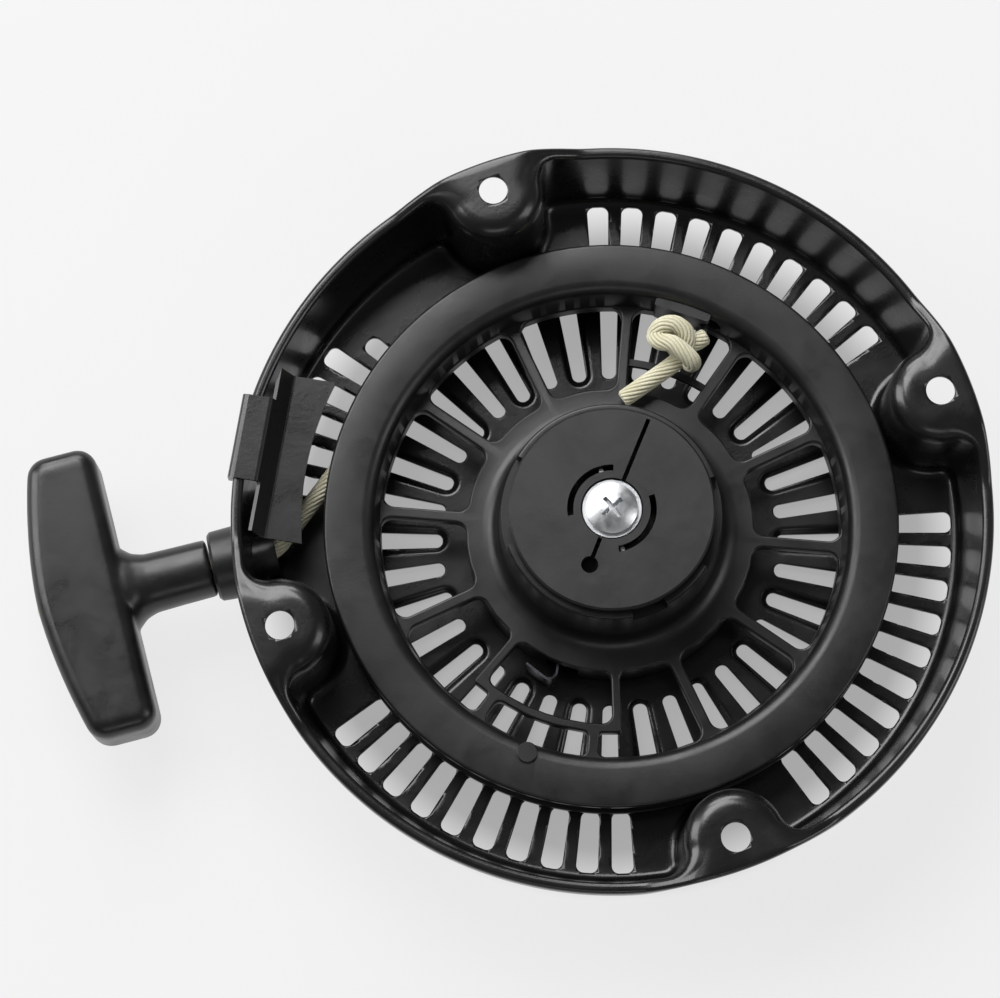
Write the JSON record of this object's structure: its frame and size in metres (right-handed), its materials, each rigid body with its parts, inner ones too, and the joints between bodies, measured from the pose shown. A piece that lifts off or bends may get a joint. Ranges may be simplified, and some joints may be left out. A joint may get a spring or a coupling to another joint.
{
  "type": "recoil starter",
  "caption": "Pull-cord recoil starter for a small engine: vented pressed cover with mounting ears, rope reel, spring, ratchets and T handle.",
  "frame": {"origin": "centre of the bolt circle, in the plane where the four ears meet the engine", "axes": "+Z points to the engine along the reel's axis; the cover's first ear is 20 degrees from +X towards +Y; the handle is on the -X side"},
  "size_m": [0.2513, 0.1966, 0.0452],
  "materials": {
    "case": "gloss black paint",
    "center_post": "zinc plated",
    "rope_guide": "black nylon",
    "rope_guard": "gloss black paint",
    "spiral_spring": "oiled spring strip",
    "reel": "satin black glass-filled nylon",
    "ratchet": "zinc plated",
    "friction_spring": "bright wire",
    "ratchet_guide": "satin black nylon",
    "screw": "bright zinc",
    "rope": "cream laid polyester",
    "knot_washer": "zinc plated",
    "handle_grip": "semi-gloss black"
  },
  "bodies": {
    "case": {"case": "case", "center_post": "center_post", "rope_guide": "rope_guide", "rope_guard": "rope_guard", "screw_washer": "screw", "guide_screw": "screw", "rope_run": "rope"},
    "reel": {"reel_drum": "reel", "reel_web": "reel", "reel_ring": "reel", "reel_hub": "reel", "rope_wound": "rope", "reel_knot": "rope", "rope_tail": "rope", "spiral_spring": "spiral_spring"},
    "guide": {"ratchet_guide": "ratchet_guide", "friction_spring": "friction_spring"},
    "ratchet_a": {"ratchet_a": "ratchet"},
    "ratchet_b": {"ratchet_b": "ratchet"},
    "handle": {"handle_grip": "handle_grip", "handle_knot": "rope", "knot_washer": "knot_washer", "handle_rope": "rope"}
  },
  "joints": [
    {"name": "reel_spin", "type": "hinge", "parent": "case", "child": "reel", "pos_m": [0, 0, 0], "axis": [0, 0, 1], "range_deg": [0, 800], "stiffness_Nm_per_rad": 0.02, "springref_deg": -229.18},
    {"name": "handle_pull", "type": "slide", "parent": "case", "child": "handle", "axis": [-0.9659, -0.2588, 0], "range_m": [0, 0.935]},
    {"name": "guide_turn", "type": "hinge", "parent": "reel", "child": "guide", "pos_m": [0, 0, 0], "axis": [0, 0, -1], "range_deg": [0, 30]},
    {"name": "ratchet_a_swing", "type": "hinge", "parent": "reel", "child": "ratchet_a", "pos_m": [0.01093, -0.01302, -0.007], "axis": [0, 0, -1], "range_deg": [0, 27.1]},
    {"name": "ratchet_b_swing", "type": "hinge", "parent": "reel", "child": "ratchet_b", "pos_m": [-0.01093, 0.01302, -0.007], "axis": [0, 0, -1], "range_deg": [0, 27.1]}
  ],
  "couplings": [
    {"joint": "handle_pull", "follows": "reel_spin", "m_per_rad": 0.0668},
    {"joint": "ratchet_a_swing", "follows": "guide_turn", "ratio": 0.9},
    {"joint": "ratchet_b_swing", "follows": "guide_turn", "ratio": 0.9}
  ]
}
